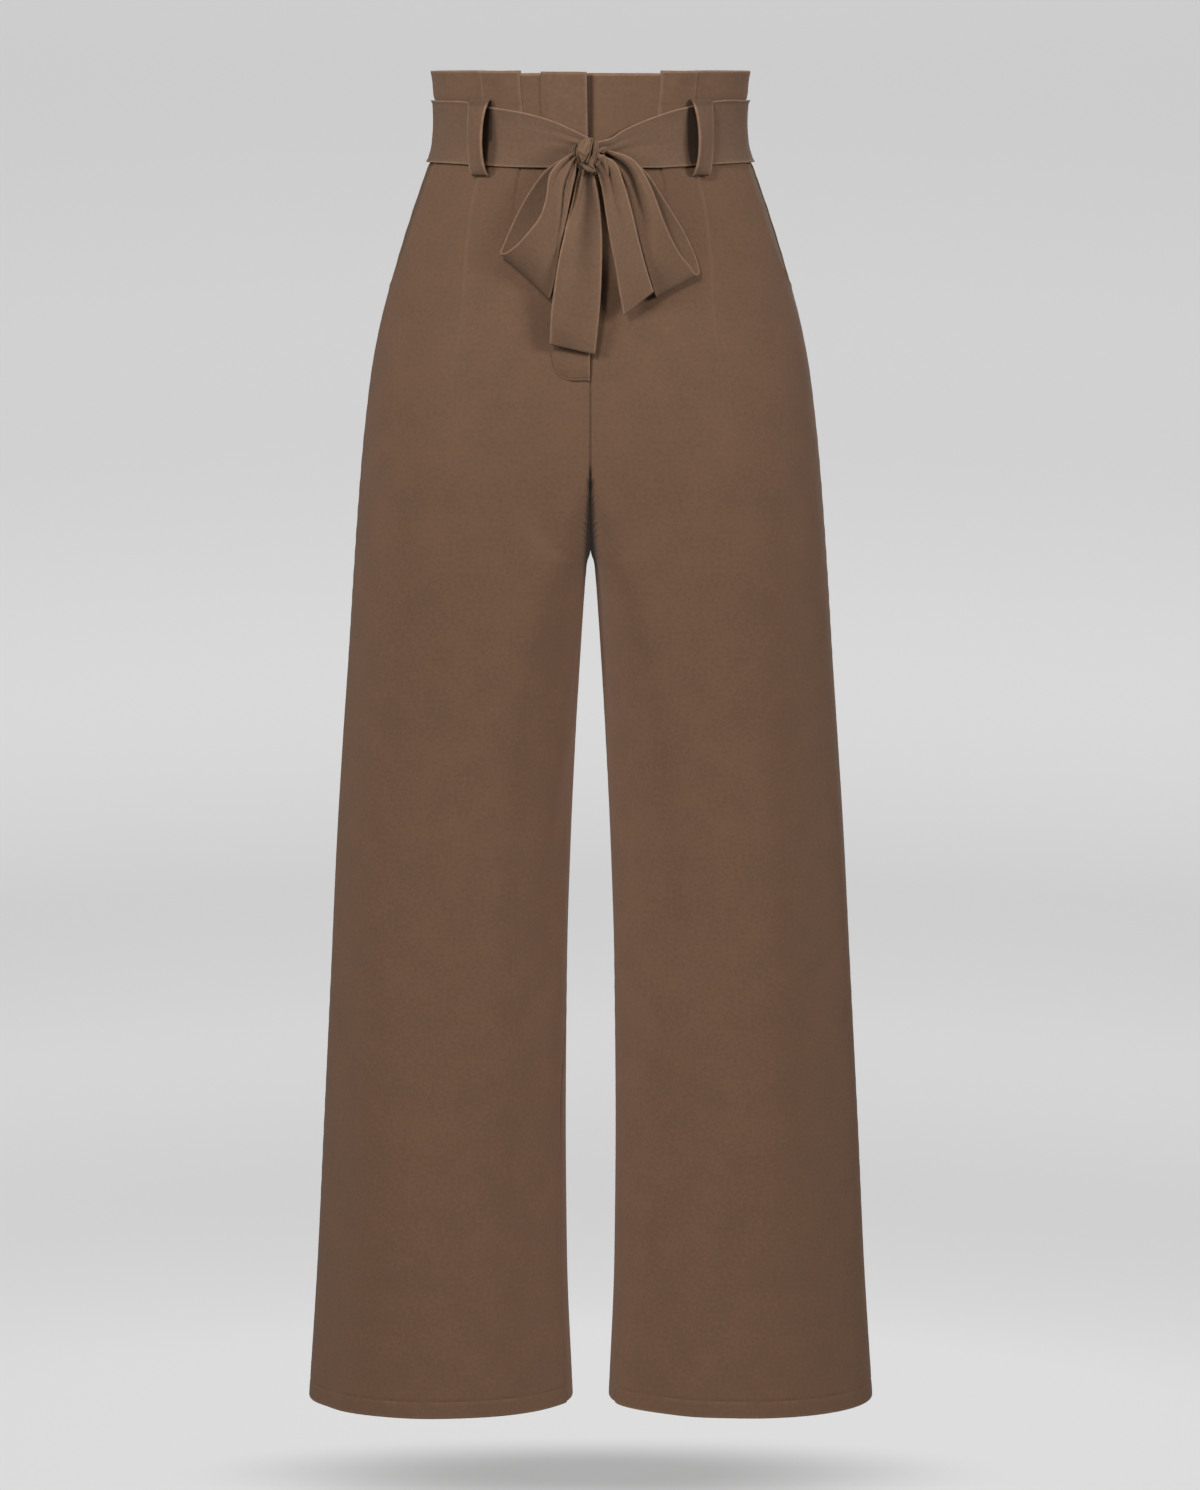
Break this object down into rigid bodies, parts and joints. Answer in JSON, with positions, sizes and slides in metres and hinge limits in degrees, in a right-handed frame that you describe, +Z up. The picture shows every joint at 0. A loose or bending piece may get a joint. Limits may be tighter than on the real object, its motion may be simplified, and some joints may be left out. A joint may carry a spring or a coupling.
{
  "type": "trousers",
  "caption": "High-rise wide-leg trousers with a gathered paperbag frill above a self-fabric belt tied in a bow, worn shape, open at waist and hems.",
  "frame": {"origin": "centre of the waist, on the garment's middle plane at the mid height of the belt", "axes": "+Z up along the body, -Y the way the wearer faces, +X the wearer's left"},
  "size_m": [0.4532, 0.2432, 1.0592],
  "materials": {
    "cloth": "matte brown crepe with a fine twill"
  },
  "bodies": {
    "root": {"front_left": "cloth", "front_right": "cloth", "back_left": "cloth", "back_right": "cloth", "fly_placket": "cloth", "pocket_left": "cloth", "pocket_right": "cloth", "belt": "cloth", "knot": "cloth", "bow_loop_left": "cloth", "bow_loop_right": "cloth", "tail_left": "cloth", "tail_right": "cloth", "belt_carrier_front_left": "cloth", "belt_carrier_front_right": "cloth", "belt_carrier_back_left": "cloth", "belt_carrier_back_right": "cloth"}
  },
  "joints": []
}
